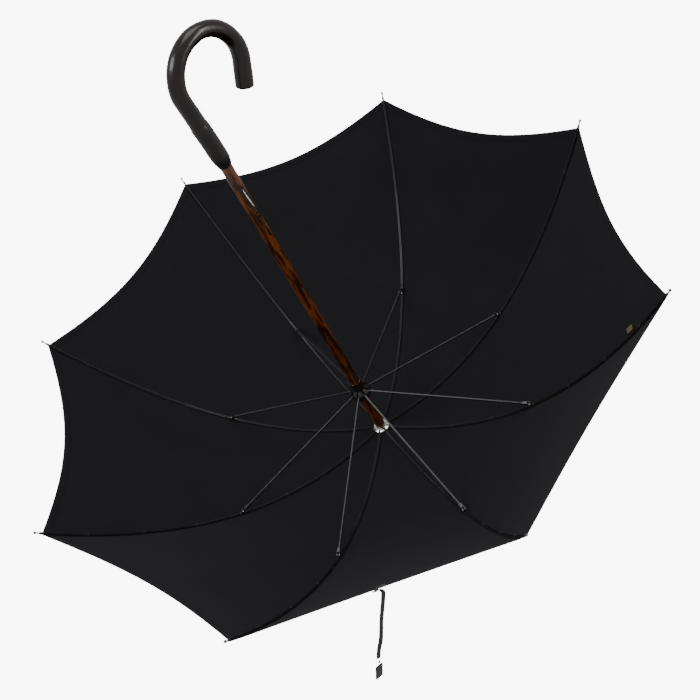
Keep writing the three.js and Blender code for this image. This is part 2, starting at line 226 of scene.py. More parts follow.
FLOOR_DROP = 0.42
floor_paint = Finish("floor_paint", Base_Color=(0.9, 0.9, 0.9, 1), Roughness=0.9,
                     Emission_Color=(1, 1, 1, 1), Emission_Strength=8.0)
cloudy = floor_paint.noise(floor_paint.places(), 0.6)
floor_paint.feed("Base Color", floor_paint.ramp(cloudy, [(0.3, (0.9, 0.9, 0.9)), (0.7, (0.92, 0.92, 0.92))]))
start_fresh()
bpy.ops.mesh.primitive_plane_add(size=60, location=(0, 0, cad_box[0][2] - FLOOR_DROP))
floor = bpy.context.object
floor.name = "studio_floor"
floor.visible_glossy = False
floor.visible_diffuse = False
floor.data.materials.append(floor_paint.material)

world = bpy.data.worlds.new("studio_air")
bpy.context.scene.world = world
world.use_nodes = True
world.node_tree.nodes["Background"].inputs["Color"].default_value = (1.0, 1.0, 1.0, 1.0)
world.node_tree.nodes["Background"].inputs["Strength"].default_value = 0.6


def add_lamp(name, place, target, width, height, power):
    """A soft box of a given width and height that faces a point."""
    start_fresh()
    way = Vector(target) - Vector(place)
    bpy.ops.object.light_add(type="AREA", location=place, rotation=way.to_track_quat("-Z", "Y").to_euler())
    lamp = bpy.context.object
    lamp.name = name
    lamp.data.shape = "RECTANGLE"
    lamp.data.size = width
    lamp.data.size_y = height
    lamp.data.energy = power
    return lamp


add_lamp("lamp_front", (-0.5, -1.9, 0.6), (0, 0, 0), 1.5, 0.9, 26)
add_lamp("lamp_over", (0.5, -0.4, 2.4), (0, 0.1, -0.2), 1.8, 1.8, 30)
add_lamp("lamp_side", (1.7, 0.8, 0.7), (0, 0, 0), 0.2, 1.4, 12)


# ---- Closing strap -----------------------------------------------------------------------
# A narrow woven tape sewn to the hem halfway between two ribs. It hangs free, twists a
# little, and carries a wire ring with a folded end tab of canopy cloth.
TAPE_WIDTH = 0.006
TAPE_THICK = 0.0009
STRAP_SIDE = math.radians(40)

strap_low, strap_high = [Vector(corner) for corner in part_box("strap")]
strap_exit = Vector(((strap_low.x + strap_high.x) / 2, (strap_low.y + strap_high.y) / 2, strap_high.z))
strap_length = strap_high.z - strap_low.z

tape = Finish("tape_weave", Base_Color=(0.012, 0.012, 0.013, 1), Roughness=0.85, Sheen_Weight=0.15)
tape_spots = tape.noise(tape.places(scale=(1, 1, 0.4)), 900, 3)
tape_ribs = tape.node("ShaderNodeTexWave", {"wave_type": "BANDS", "bands_direction": "Z"},
                      {"Vector": tape.places(), "Scale": 400, "Distortion": 0.6})
tape.feed("Base Color", tape.ramp(tape_spots, [(0.3, (0.008, 0.008, 0.009)), (0.75, (0.022, 0.022, 0.024))]))
tape.feed("Roughness", tape.level(tape_spots, 0.2, 0.8, 0.75, 0.95))
tape.bump(tape_ribs * 0.6 + tape_spots * 0.4, 0.0002)


def dress(piece, finish, angle=35):
    """Gives a finished piece its material and its shading."""
    piece.data.materials.clear()
    piece.data.materials.append(finish.material)
    start_fresh()
    bpy.context.view_layer.objects.active = piece
    piece.select_set(True)
    bpy.ops.object.shade_smooth_by_angle(angle=math.radians(angle))
    return piece


def finish_edges(piece, width, segments=2, angle=30):
    """Rounds a piece's edges and applies the rounding."""
    start_fresh()
    bpy.context.view_layer.objects.active = piece
    piece.select_set(True)
    bevel = piece.modifiers.new("rounding", "BEVEL")
    bevel.width = width
    bevel.segments = segments
    bevel.angle_limit = math.radians(angle)
    bpy.ops.object.modifier_apply(modifier=bevel.name)
    return piece


def add_block(name, size, cuts=0, place=(0, 0, 0)):
    """A box of a given size, cut across its length into short bays when it has to bend."""
    start_fresh()
    bpy.ops.mesh.primitive_cube_add(size=1, location=(0, 0, 0))
    block = bpy.context.object
    block.name = name
    bpy.ops.object.mode_set(mode="EDIT")
    bpy.ops.transform.resize(value=size)
    bpy.ops.transform.translate(value=place)
    if cuts:
        bpy.ops.mesh.subdivide(number_cuts=cuts)
    bpy.ops.object.mode_set(mode="OBJECT")
    return block


hem_way = (STANCE.to_3x3() @ Vector((1, 1, 0))).normalized()
view_side = Vector((math.cos(STRAP_SIDE), math.sin(STRAP_SIDE), 0))
SEWN_END = 0.010
SWAYS = ((0, 4.0), (0.15, 3.8), (0.43, 2.6), (0.7, 2.8), (0.86, 0.9), (0.93, 0.4), (1, 0.2))
TAPE_END_SIDE = math.radians(78)


def sway_at(share):
    """How far the hanging tape lies to one side, from its top to its end."""
    for (near, before), (far, after) in zip(SWAYS, SWAYS[1:]):
        if share <= far:
            part = (share - near) / (far - near)
            return 0.001 * (before + (after - before) * part * part * (3 - 2 * part))
    return 0.001 * SWAYS[-1][1]


def smooth_line(corners, spacing):
    """A smooth line through a few points, walked at an even spacing."""
    dense = []
    ends = [corners[0] * 2 - corners[1], *corners, corners[-1] * 2 - corners[-2]]
    for before, start, stop, after in zip(ends, ends[1:], ends[2:], ends[3:]):
        for step in range(24):
            t = step / 24
            dense.append(0.5 * (start * 2 + (stop - before) * t
                                + (before * 2 - start * 5 + stop * 4 - after) * t * t
                                + (start * 3 - before - stop * 3 + after) * t ** 3))
    dense.append(corners[-1])
    walked = [dense[0]]
    gone = 0.0
    for near, far in zip(dense, dense[1:]):
        gone += (far - near).length
        if gone >= spacing:
            walked.append(far)
            gone = 0.0
    if (walked[-1] - dense[-1]).length > spacing * 0.3:
        walked.append(dense[-1])
    return walked


tape_corners = [strap_exit - hem_way * SEWN_END + Vector((0, 0, 0.0004)),
                strap_exit - hem_way * 0.003 + Vector((0, 0, 0.0015)),
                strap_exit + view_side * 0.0033 + Vector((0, 0, -0.0018))]
for step in range(1, 13):
    share = step / 12
    tape_corners.append(strap_exit + view_side * sway_at(share) + Vector((0, 0, -strap_length * share)))
tape_route = smooth_line(tape_corners, 0.0018)
tape_length = sum((far - near).length for near, far in zip(tape_route, tape_route[1:]))


def tape_frame(index):
    """The tape's middle, its direction and the way its width lies, at one point of its route."""
    last = len(tape_route) - 1
    along = (tape_route[min(index + 1, last)] - tape_route[max(index - 1, 0)]).normalized()
    share = index / last
    twist = math.radians(-22) * math.sin(math.pi * share)
    side = STRAP_SIDE + twist + (TAPE_END_SIDE - STRAP_SIDE) * share ** 3
    width_way = Vector((math.cos(side), math.sin(side), 0))
    if share < 0.12:
        width_way = Vector((0.35, -0.35, 0.6)).lerp(width_way, (share / 0.12) ** 0.7)
    width_way = (width_way - along * width_way.dot(along)).normalized()
    return tape_route[index], along, width_way


strap = add_block("strap_tape", (TAPE_WIDTH, TAPE_THICK, 1), place=(0, 0, 0.5))
start_fresh()
strap.select_set(True)
bpy.context.view_layer.objects.active = strap
bpy.ops.object.mode_set(mode="EDIT")
bays = len(tape_route) - 1
for bay in range(1, bays):
    bpy.ops.mesh.select_all(action="SELECT")
    bpy.ops.mesh.bisect(plane_co=(0, 0, bay / bays), plane_no=(0, 0, 1))
bpy.ops.object.mode_set(mode="OBJECT")
finish_edges(strap, 0.0003)
for vertex in strap.data.vertices:
    exact = min(max(vertex.co.z, 0.0), 1.0) * bays
    index = min(int(exact), bays - 1)
    place, along, width_way = tape_frame(index)
    place_on, along_on, width_on = tape_frame(index + 1)
    part = exact - index
    middle = place.lerp(place_on, part)
    across_way = width_way.lerp(width_on, part).normalized()
    face_way = along.lerp(along_on, part).cross(across_way).normalized()
    pinch = 1.0 - 0.12 * math.sin(math.pi * exact / bays)
    vertex.co = middle + across_way * vertex.co.x * pinch + face_way * vertex.co.y
dress(strap, tape)
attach(strap, "panel_5a")
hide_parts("strap")

steel_wire = Finish("dark_wire", Base_Color=(0.07, 0.065, 0.06, 1), Metallic=1.0, Roughness=0.3)
wire_wear = steel_wire.noise(steel_wire.places(), 500)
steel_wire.feed("Base Color",
                steel_wire.ramp(wire_wear, [(0.3, (0.04, 0.038, 0.034)), (0.7, (0.11, 0.1, 0.09))]))
steel_wire.feed("Roughness", steel_wire.level(wire_wear, 0.3, 0.7, 0.24, 0.4))

ring_low, ring_high = [Vector(corner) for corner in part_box("strap_ring")]
ring_middle = (ring_low + ring_high) / 2
ring_height = ring_high.z - ring_low.z
RING_WIRE = 0.0011
TAB_SIDE = math.radians(90)
TAB_SHIFT = view_side * 0.0018
start_fresh()
bpy.ops.mesh.primitive_circle_add(vertices=4, radius=0.5)
ring = bpy.context.object
ring.name = "strap_wire_ring"
for vertex, (x, z) in zip(ring.data.vertices, [(-0.66, -0.38), (0.66, -0.38), (0.42, 0.46), (-0.42, 0.46)]):
    vertex.co = (x * ring_height, 0, z * ring_height)
bpy.ops.object.mode_set(mode="EDIT")
bpy.ops.mesh.select_all(action="SELECT")
bpy.ops.mesh.bevel(offset=0.0016, segments=4, affect="VERTICES")
bpy.ops.object.mode_set(mode="OBJECT")
bpy.ops.object.convert(target="CURVE")
ring.data.bevel_depth = RING_WIRE
ring.data.bevel_resolution = 4
bpy.ops.object.convert(target="MESH")
ring = bpy.context.object
ring.data.transform(Matrix.Translation(ring_middle + TAB_SHIFT) @ Matrix.Rotation(TAB_SIDE, 4, "Z"))
dress(ring, steel_wire)
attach(ring, "panel_5a")
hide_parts("strap_ring")

tab_low, tab_high = [Vector(corner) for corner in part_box("strap_tab")]
tab_middle = (tab_low + tab_high) / 2
TAB_WIDTH = 0.013
TAB_THICK = 0.0019
tab_height = tab_high.z - tab_low.z
tab = add_block("strap_end_tab", (TAB_WIDTH, TAB_THICK, tab_height - 0.001), cuts=7)
finish_edges(tab, 0.0005, 3)
for vertex in tab.data.vertices:
    edge = abs(vertex.co.x) / (TAB_WIDTH / 2)
    vertex.co.y *= 1.0 - 0.35 * max(0.0, edge - 0.55)
TAB_LEAN = math.radians(-4)
tab.data.transform(Matrix.Translation(tab_middle + TAB_SHIFT + Vector((0, 0, 0.001)))
                   @ Matrix.Rotation(TAB_SIDE, 4, "Z") @ Matrix.Rotation(TAB_LEAN, 4, "Y"))
dress(tab, tape)
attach(tab, "panel_5a")
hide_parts("strap_tab")

tape_route[::2] + [tape_route[-1]]

anchor = add_block("strap_anchor_patch", (0.011, 0.0125, 0.0014), cuts=5)
finish_edges(anchor, 0.0004, 3)


# ---- Ribs --------------------------------------------------------------------------------
# Each rib is a rolled steel channel, lacquered black and bowed by the stretched cloth. A
# pressed bracket holds the stretcher's rivet, and black thread ties the cloth to the rib.
REACH = 0.5
RIB_DIP = 0.238
RIB_BOW = 0.712
RIB_DROP = 0.067
RIB_DEPTH = 0.0026
RIB_WIDTH = 0.0028
RIB_END = 0.498
hinge_radius = upright(hinges[0]).to_2d().length


def rib_curve(radius):
    share = radius / REACH
    return REACH * (-RIB_DIP * share + RIB_BOW * share ** 2 + RIB_DROP * share ** 4)


def rib_height(radius):
    return rib_curve(radius) - rib_curve(hinge_radius)


def rib_slope(radius):
    share = radius / REACH
    return math.atan(-RIB_DIP + 2 * RIB_BOW * share + 4 * RIB_DROP * share ** 3)


def beside_rib(radius, offset):
    """A point off the rib's line; positive offsets are on the outside, where the cloth lies."""
    slope = rib_slope(radius)
    return radius + offset * math.sin(slope), rib_height(radius) - offset * math.cos(slope)


lacquer = Finish("black_lacquer", Base_Color=(0.012, 0.012, 0.013, 1), Metallic=0.0, Roughness=0.38,
                 Coat_Weight=0.3)
lacquer_spots = lacquer.noise(lacquer.places(), 220, 6, 0.6)
lacquer.feed("Base Color", lacquer.ramp(lacquer_spots, [(0.35, (0.008, 0.008, 0.009)),
                                                       (0.62, (0.014, 0.014, 0.015)),
                                                       (0.8, (0.03, 0.03, 0.03))]))
lacquer.feed("Roughness", lacquer.level(lacquer_spots, 0.3, 0.7, 0.3, 0.5))
lacquer.bump(lacquer_spots, 0.00005)


def sweep(name, points, section, radii=None):
    """A section drawn along a line of points and made a mesh. A number is a round section's radius."""
    start_fresh()
    bpy.ops.curve.primitive_bezier_curve_add()
    line = bpy.context.object
    line.name = name
    shape = line.data
    shape.splines.clear()
    spline = shape.splines.new("POLY")
    spline.points.add(len(points) - 1)
    for index, point in enumerate(points):
        spline.points[index].co = (*point, 1)
        spline.points[index].radius = radii[index] if radii else 1.0
    shape.twist_mode = "MINIMUM"
    shape.use_fill_caps = True
    if isinstance(section, float):
        shape.bevel_depth = section
        shape.bevel_resolution = 9
    else:
        shape.bevel_mode = "OBJECT"
        shape.bevel_object = section
    bpy.ops.object.convert(target="MESH")
    made = bpy.context.object
    bpy.ops.object.mode_set(mode="EDIT")
    bpy.ops.mesh.select_all(action="SELECT")
    bpy.ops.mesh.remove_doubles(threshold=1e-6)
    bpy.ops.mesh.normals_make_consistent(inside=False)
    bpy.ops.object.mode_set(mode="OBJECT")
    return made


def add_section(name, outline):
    """A closed flat outline that sweep() draws along a line."""
    start_fresh()
    bpy.ops.curve.primitive_bezier_circle_add()
    section = bpy.context.object
    section.name = name
    section.data.splines.clear()
    spline = section.data.splines.new("POLY")
    spline.points.add(len(outline) - 1)
    for index, (x, y) in enumerate(outline):
        spline.points[index].co = (x, y, 0, 1)
    spline.use_cyclic_u = True
    return section


WALL = 0.0006
wide, deep = RIB_WIDTH / 2, RIB_DEPTH / 2
channel = add_section("rib_channel", [(-wide, -deep), (wide, -deep), (wide, deep), (wide - WALL, deep),
                                      (wide - WALL, WALL - deep), (WALL - wide, WALL - deep),
                                      (WALL - wide, deep), (-wide, deep)])
rib_line = []
for step in range(61):
    radius = hinge_radius + (RIB_END - hinge_radius) * step / 60
    rib_line.append((radius, 0, rib_height(radius)))

joint_spot = upright(joints["stretcher_1_pivot"]["pos_m"])
JOINT_RADIUS = joint_spot.to_2d().length
TIE_RADII = (0.12, 0.19, 0.33, 0.395, 0.455)


def join(name, parts):
    """Several meshes made into one piece."""
    start_fresh()
    for part in parts:
        part.select_set(True)
    bpy.context.view_layer.objects.active = parts[0]
    bpy.ops.object.join()
    parts[0].name = name
    return parts[0]


def add_disc(name, radius, depth, place, sides=24):
    """A short round bar lying across the rib."""
    start_fresh()
    bpy.ops.mesh.primitive_cylinder_add(vertices=sides, radius=radius, depth=depth, location=place,
                                        rotation=(math.pi / 2, 0, 0))
    disc = bpy.context.object
    disc.name = name
    bpy.ops.object.transform_apply(location=True, rotation=True, scale=True)
    return finish_edges(disc, min(radius, depth) * 0.22)


def make_bracket():
    """The pressed saddle that grips the rib, with its lug for the rivet."""
    slope = rib_slope(JOINT_RADIUS)
    saddle = add_block("saddle", (0.015, 0.0037, 0.0036), cuts=2)
    finish_edges(saddle, 0.0005)
    saddle.data.transform(Matrix.Translation((JOINT_RADIUS, 0, rib_height(JOINT_RADIUS)))
                          @ Matrix.Rotation(-slope, 4, "Y"))
    web = add_block("web", (0.0066, 0.0023, 0.0056))
    finish_edges(web, 0.0004)
    web.data.transform(Matrix.Translation((JOINT_RADIUS, 0, (rib_height(JOINT_RADIUS) + joint_spot.z) / 2))
                       @ Matrix.Rotation(-slope * 0.5, 4, "Y"))
    lug = add_disc("lug", 0.0026, 0.0024, (JOINT_RADIUS, 0, joint_spot.z))
    return join("bracket", [saddle, web, lug])


def make_ties():
    """Loops of black thread round the rib, each with its knot."""
    loops = []
    for radius in TIE_RADII:
        slope = rib_slope(radius)
        for turn in (-1, 0, 1):
            start_fresh()
            bpy.ops.mesh.primitive_torus_add(major_radius=0.0023, minor_radius=0.00026, major_segments=20,
                                             minor_segments=6, rotation=(0, math.pi / 2 + 0.16 * turn, 0))
            loop = bpy.context.object
            bpy.ops.object.transform_apply(location=True, rotation=True, scale=True)
            x, z = beside_rib(radius, 0.0002)
            loop.data.transform(Matrix.Translation((x, 0, z)) @ Matrix.Rotation(-slope, 4, "Y")
                                @ Matrix.Translation((0.00045 * turn, 0, 0)))
            loops.append(loop)
        start_fresh()
        bpy.ops.mesh.primitive_ico_sphere_add(subdivisions=2, radius=0.0008)
        knot = bpy.context.object
        x, z = beside_rib(radius, -0.0022)
        knot.data.transform(Matrix.Translation((x, 0.0006, z)) @ Matrix.Diagonal((1.3, 1, 0.8, 1)))
        loops.append(knot)
    return join("ties", loops)


thread = Finish("black_thread", Base_Color=(0.01, 0.01, 0.011, 1), Roughness=0.8, Sheen_Weight=0.2)
thread_twist = thread.node("ShaderNodeTexWave", {"bands_direction": "DIAGONAL"},
                           {"Vector": thread.places(), "Scale": 900})
thread.feed("Base Color",
            thread.ramp(thread_twist, [(0.2, (0.006, 0.006, 0.007)), (0.9, (0.03, 0.03, 0.032))]))
thread.bump(thread_twist, 0.0001)


def copy_of(piece, name):
    """A copy with a mesh of its own."""
    twin = bpy.data.objects.new(name, piece.data.copy())
    bpy.context.scene.collection.objects.link(twin)
    return twin


rib_master = sweep("rib_master", rib_line, channel)
eye = add_disc("eye", 0.0017, RIB_WIDTH, (hinge_radius, 0, 0))
rib_master = join("rib_master", [rib_master, eye])
bracket_master = make_bracket()
ties_master = make_ties()
for number in range(1, RIBS + 1):
    body = f"rib_{number}"
    rib = settle(copy_of(rib_master, f"rib_channel_{number}"), rib_turn(number))
    dress(rib, lacquer)
    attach(rib, body)
    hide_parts(body)
    bracket = settle(copy_of(bracket_master, f"rib_bracket_{number}"), rib_turn(number))
    dress(bracket, lacquer)
    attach(bracket, body)
    ties = settle(copy_of(ties_master, f"rib_ties_{number}"), rib_turn(number))
    dress(ties, thread)
    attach(ties, body)
for master in (rib_master, bracket_master, ties_master, channel):
    bpy.data.objects.remove(master)


# ---- Canopy ------------------------------------------------------------------------------
# Eight triangular panels of fine black cloth, joined by flat seams along the ribs and turned
# up in a narrow hem. Each panel is made in two halves that fold like a fan between its rib
# and its middle, and a second layer of cloth strengthens the crown.
HOLE = 0.0145
SCALLOP = 0.038
CLOTH_THICK = 0.0004
CLOTH_GAP = RIB_DEPTH / 2 + 0.0007
HEM_WIDTH = 0.008
PATCH_RADIUS = 0.040
SEAM_WIDTH = 0.0042
STEP = 0.0006
FOLD = 0.00045
SAG = 0.0035

cloth = Finish("canopy_weave", Base_Color=(0.013, 0.013, 0.0155, 1), Roughness=0.85, Sheen_Weight=0.03,
               Sheen_Roughness=0.5, Specular_IOR_Level=0.1)
cut = cloth.node("ShaderNodeUVMap", {"uv_map": "cut"})
warp = cloth.node("ShaderNodeTexWave", {"bands_direction": "X"},
                  {"Vector": cut, "Scale": 700, "Distortion": 0.4})
weft = cloth.node("ShaderNodeTexWave", {"bands_direction": "Y"},
                  {"Vector": cut, "Scale": 700, "Distortion": 0.4})
slubs = cloth.noise(cloth.node("ShaderNodeMapping", values={"Vector": cut, "Scale": (1, 0.08, 1)}), 1400, 3)
drift = cloth.noise(cut, 9, 5)
tone = cloth.ramp(drift, [(0.3, (0.0076, 0.0076, 0.0092)), (0.7, (0.0096, 0.0096, 0.0117))])
cloth.feed("Base Color", cloth.mix(cloth.level(slubs, 0.35, 0.75, 0.0, 0.35), tone, (0.014, 0.014, 0.017, 1)))
cloth.feed("Roughness", cloth.level(slubs, 0.2, 0.8, 0.66, 0.8))
cloth.bump(warp * weft + slubs * 0.5, 0.00008)


def hem_radius(angle):
    """The hem dips in between two ribs, most of all halfway."""
    toward_rib = (HALF_STEP - angle) / HALF_STEP
    return RIB_END * (1 - SCALLOP * (1 - toward_rib ** 2))


def rows_of_cloth():
    """Radii of the rows along a rib, close together beside the crown patch and the hem."""
    bays = 40
    start = 0.05
    stop = RIB_END - HEM_WIDTH - STEP
    rows = [HOLE, 0.02, 0.03, PATCH_RADIUS, PATCH_RADIUS + STEP]
    rows += [start + (stop - start) * n / bays for n in range(bays + 1)]
    return rows + [RIB_END - HEM_WIDTH, RIB_END - HEM_WIDTH / 2, RIB_END]


def columns_of_cloth():
    """How far a column lies from the rib's seam: a length beside the seam, then a share of the rest."""
    bays = 12
    beside = [(0.0, 0.0), (SEAM_WIDTH, 0.0), (SEAM_WIDTH + STEP, 0.0)]
    return beside + [(SEAM_WIDTH + STEP, n / bays) for n in range(1, bays + 1)]


def cloth_spot(row, column, direction):
    """A point of the cloth's outer face, and how far round from its rib it lies."""
    length, share = column
    half_chord = row * math.sin(HALF_STEP)
    aside = min(length, half_chord * 0.95)
    aside += (half_chord - aside) * share
    angle = HALF_STEP - math.atan((half_chord - aside) / (row * math.cos(HALF_STEP)))
    bend = 0.06
    radius = row
    if row > bend:
        radius = bend + (row - bend) * (hem_radius(angle) - bend) / (RIB_END - bend)
    middle = aside / half_chord
    sag = SAG * (1 - (1 - middle) ** 2) * math.sin(math.pi * min(1.0, row / RIB_END) ** 1.5)
    plan, height = beside_rib(radius, CLOTH_GAP + CLOTH_THICK - sag)
    along = middle * plan * math.sin(HALF_STEP)
    x = plan - along * math.sin(HALF_STEP)
    y = direction * along * math.cos(HALF_STEP)
    return Vector((x, y, height)), math.atan2(abs(y), x)


def arc_length(radius):
    """The rib's length from the crown to a radius, for the cloth's flat pattern."""
    steps = 24
    length = 0.0
    for step in range(steps):
        length += radius / steps / math.cos(rib_slope(radius * (step + 0.5) / steps))
    return length


cloth_rows = rows_of_cloth()
cloth_columns = columns_of_cloth()
row_lengths = [arc_length(row) for row in cloth_rows]


def make_half_panel(name, direction):
    """One half of a panel, beside its rib, made from a flat grid of cloth."""
    start_fresh()
    bpy.ops.mesh.primitive_grid_add(x_subdivisions=len(cloth_columns) - 1, y_subdivisions=len(cloth_rows) - 1)
    panel = bpy.context.object
    panel.name = name
    mesh = panel.data
    mesh.uv_layers[0].name = "cut"
    across_count = len(cloth_columns)
    flat_places = []
    shares = []
    for index, vertex in enumerate(mesh.vertices):
        row = index // across_count
        column = index % across_count
        vertex.co, angle = cloth_spot(cloth_rows[row], cloth_columns[column], direction)
        flat_places.append((abs(vertex.co.y) * 1.02 * direction, row_lengths[row]))
        shares.append(angle / HALF_STEP)
    for loop in mesh.loops:
        mesh.uv_layers[0].data[loop.index].uv = flat_places[loop.vertex_index]
    if direction > 0:
        mesh.flip_normals()
    solidify = panel.modifiers.new("thickness", "SOLIDIFY")
    solidify.thickness = CLOTH_THICK
    solidify.offset = -1
    bpy.ops.object.modifier_apply(modifier=solidify.name)
    count = len(shares)
    for index, vertex in enumerate(mesh.vertices):
        if index >= count:
            row = cloth_rows[(index - count) // across_count]
            length, share = cloth_columns[(index - count) % across_count]
            in_seam = share == 0 and length <= SEAM_WIDTH
            layers = (row <= PATCH_RADIUS) + (row >= RIB_END - HEM_WIDTH) + in_seam
            slope = rib_slope(row)
            vertex.co += Vector((-math.sin(slope), 0, math.cos(slope))) * FOLD * layers
    return panel, shares + shares


WEIGHT = "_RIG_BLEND"
CUT = (round(RIB_END * math.sin(HALF_STEP) * 1.02, 3), round(row_lengths[-1] * 1.01, 3))
panels = {}
for side, direction in (("a", -1), ("b", 1)):
    panel_master, shares = make_half_panel(f"half_panel_{side}", direction)
    for number in range(1, RIBS + 1):
        rib_number = number if side == "a" else number % RIBS + 1
        node = f"panel_{number}{side}"
        panel = settle(copy_of(panel_master, f"canopy_{number}{side}"), rib_turn(rib_number))
        dress(panel, cloth, 50)
        rib_spot = STANCE @ Vector((0, 0, 0))
        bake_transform(panel, f"rib_{rib_number}", node, start=rib_spot, end=rib_spot + Vector((0, 0, 1)))
        panel.data.attributes[WEIGHT].data.foreach_set("value", shares)
        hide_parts(node)
        panels[node] = panel
    bpy.data.objects.remove(panel_master)


# ---- Strap anchor and label --------------------------------------------------------------
# The tape's end is folded into a small patch sewn inside the hem. A blank woven label is
# sewn beside the fourth rib.
anchor_low, anchor_high = [Vector(corner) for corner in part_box("strap_anchor")]
anchor_middle = upright((anchor_low + anchor_high) / 2)
hem_slope = rib_slope(hem_radius(HALF_STEP))
anchor_turn = math.atan2(anchor_middle.y, anchor_middle.x)
anchor.data.transform(Matrix.Translation(anchor_middle) @ Matrix.Rotation(anchor_turn, 4, "Z")
                      @ Matrix.Rotation(-hem_slope, 4, "Y"))
settle(anchor)
dress(anchor, tape)
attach(anchor, "panel_5a")
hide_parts("strap_anchor")

woven = Finish("label_weave", Base_Color=(0.09, 0.075, 0.02, 1), Roughness=0.9, Sheen_Weight=0.1)
label_threads = woven.noise(woven.places(), 1500)
woven.feed("Base Color", woven.ramp(label_threads, [(0.3, (0.06, 0.05, 0.012)), (0.7, (0.12, 0.1, 0.024))]))
woven.bump(label_threads, 0.0001)

label_low, label_high = [Vector(corner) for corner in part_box("label")]
label_middle = upright((label_low + label_high) / 2)
label = add_block("sewn_label", (0.0135, 0.0078, 0.0005), cuts=3)
finish_edges(label, 0.0002)
label_slope = rib_slope(label_middle.to_2d().length)
label_roll = math.atan(math.tan(HALF_STEP) * math.sin(label_slope))
label.data.transform(Matrix.Translation(label_middle) @ Matrix.Rotation(rib_turn(4), 4, "Z")
                     @ Matrix.Rotation(-label_slope, 4, "Y") @ Matrix.Rotation(label_roll, 4, "X"))
settle(label)
dress(label, woven)
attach(label, "rib_4")
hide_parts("label")


# ---- Shaft -------------------------------------------------------------------------------
# One straight rod of hardwood, scorched in long patches and varnished. Pockets are cut in it
# for the two springs, and a steel stop pin crosses it above the notch.
SHAFT_LOW = -0.030
SHAFT_TOP = 0.622
SHAFT_RADIUS = 0.008
POCKETS = ((0.127, 0.172, 0.0014), (0.463, 0.556, -0.0014))
POCKET_WIDTH = 0.0032

scorched = Finish("scorched_wood", Base_Color=(0.1, 0.025, 0.003, 1), Roughness=0.35, Coat_Weight=0.5,
                  Coat_Roughness=0.15)
grain_space = scorched.places(turn=(-TILT, 0, 0), scale=(1, 1, 0.14))
fine_space = scorched.places(turn=(-TILT, 0, 0), scale=(1, 1, 0.02))
blotches = scorched.noise(grain_space, 170, 3, 0.55)
grain = scorched.noise(fine_space, 1500, 6, 0.6)
amber = scorched.ramp(grain, [(0.3, (0.075, 0.016, 0.0012)), (0.7, (0.2, 0.05, 0.004))])
burnt = scorched.ramp(grain, [(0.3, (0.008, 0.0022, 0.0008)), (0.7, (0.03, 0.008, 0.0015))])
scorch = scorched.level(blotches, 0.44, 0.54, 0.0, 1.0)
scorched.feed("Base Color", scorched.mix(scorch, amber, burnt))
scorched.feed("Roughness", scorched.level(grain, 0.2, 0.8, 0.24, 0.36))
scorched.bump(grain, 0.00006)


def turned(name, outline, steps=64):
    """A piece turned from a closed outline of radius and height."""
    start_fresh()
    bpy.ops.mesh.primitive_circle_add(vertices=len(outline), radius=1)
    made = bpy.context.object
    made.name = name
    for vertex, (radius, height) in zip(made.data.vertices, outline):
        vertex.co = (radius, 0, height)
    bpy.ops.object.mode_set(mode="EDIT")
    bpy.ops.mesh.select_all(action="SELECT")
    bpy.ops.mesh.spin(steps=steps, angle=math.tau, center=(0, 0, 0), axis=(0, 0, 1))
    bpy.ops.mesh.select_all(action="SELECT")
    bpy.ops.mesh.remove_doubles(threshold=1e-6)
    bpy.ops.mesh.dissolve_degenerate(threshold=1e-7)
    bpy.ops.mesh.normals_make_consistent(inside=False)
    bpy.ops.object.mode_set(mode="OBJECT")
    return made


def carve(piece, cutter):
    """Cuts one piece with another and removes the cutter."""
    start_fresh()
    bpy.context.view_layer.objects.active = piece
    piece.select_set(True)
    cut_away = piece.modifiers.new("cut", "BOOLEAN")
    cut_away.object = cutter
    cut_away.solver = "EXACT"
    bpy.ops.object.modifier_apply(modifier=cut_away.name)
    bpy.data.objects.remove(cutter)
    return piece


shaft = turned("shaft_rod", [(0, SHAFT_LOW), (SHAFT_RADIUS, SHAFT_LOW), (SHAFT_RADIUS, SHAFT_TOP),
                             (0, SHAFT_TOP)])
for low, high, bottom in POCKETS:
    pocket = add_block("pocket", (0.012, POCKET_WIDTH, high - low),
                       place=(bottom + 0.006, 0, (low + high) / 2))
    carve(shaft, pocket)
settle(shaft)
dress(shaft, scorched, 40)
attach(shaft, "shaft")
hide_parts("shaft")


def refine(node, name, finish, width, segments=2, angle=30):
    """A copy of a frame piece with its edges rounded and a finish of its own."""
    source = frame["nodes"][node]
    piece = copy_of(source, name)
    piece.data.transform(source.matrix_world)
    start_fresh()
    bpy.context.view_layer.objects.active = piece
    piece.select_set(True)
    bpy.ops.object.mode_set(mode="EDIT")
    bpy.ops.mesh.select_all(action="SELECT")
    bpy.ops.mesh.remove_doubles(threshold=1e-6)
    bpy.ops.mesh.dissolve_limited(angle_limit=math.radians(2))
    bpy.ops.object.mode_set(mode="OBJECT")
    finish_edges(piece, width, segments, angle)
    dress(piece, finish)
    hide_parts(node)
    return piece


nickel = Finish("nickel_plate_finish", Base_Color=(0.8, 0.8, 0.77, 1), Metallic=1.0, Roughness=0.16)
nickel_spots = nickel.noise(nickel.places(), 350, 5)
nickel.feed("Base Color", nickel.ramp(nickel_spots, [(0.3, (0.62, 0.61, 0.58)), (0.6, (0.84, 0.84, 0.8))]))
nickel.feed("Roughness", nickel.level(nickel_spots, 0.3, 0.7, 0.12, 0.28))
nickel.bump(nickel_spots, 0.00002)

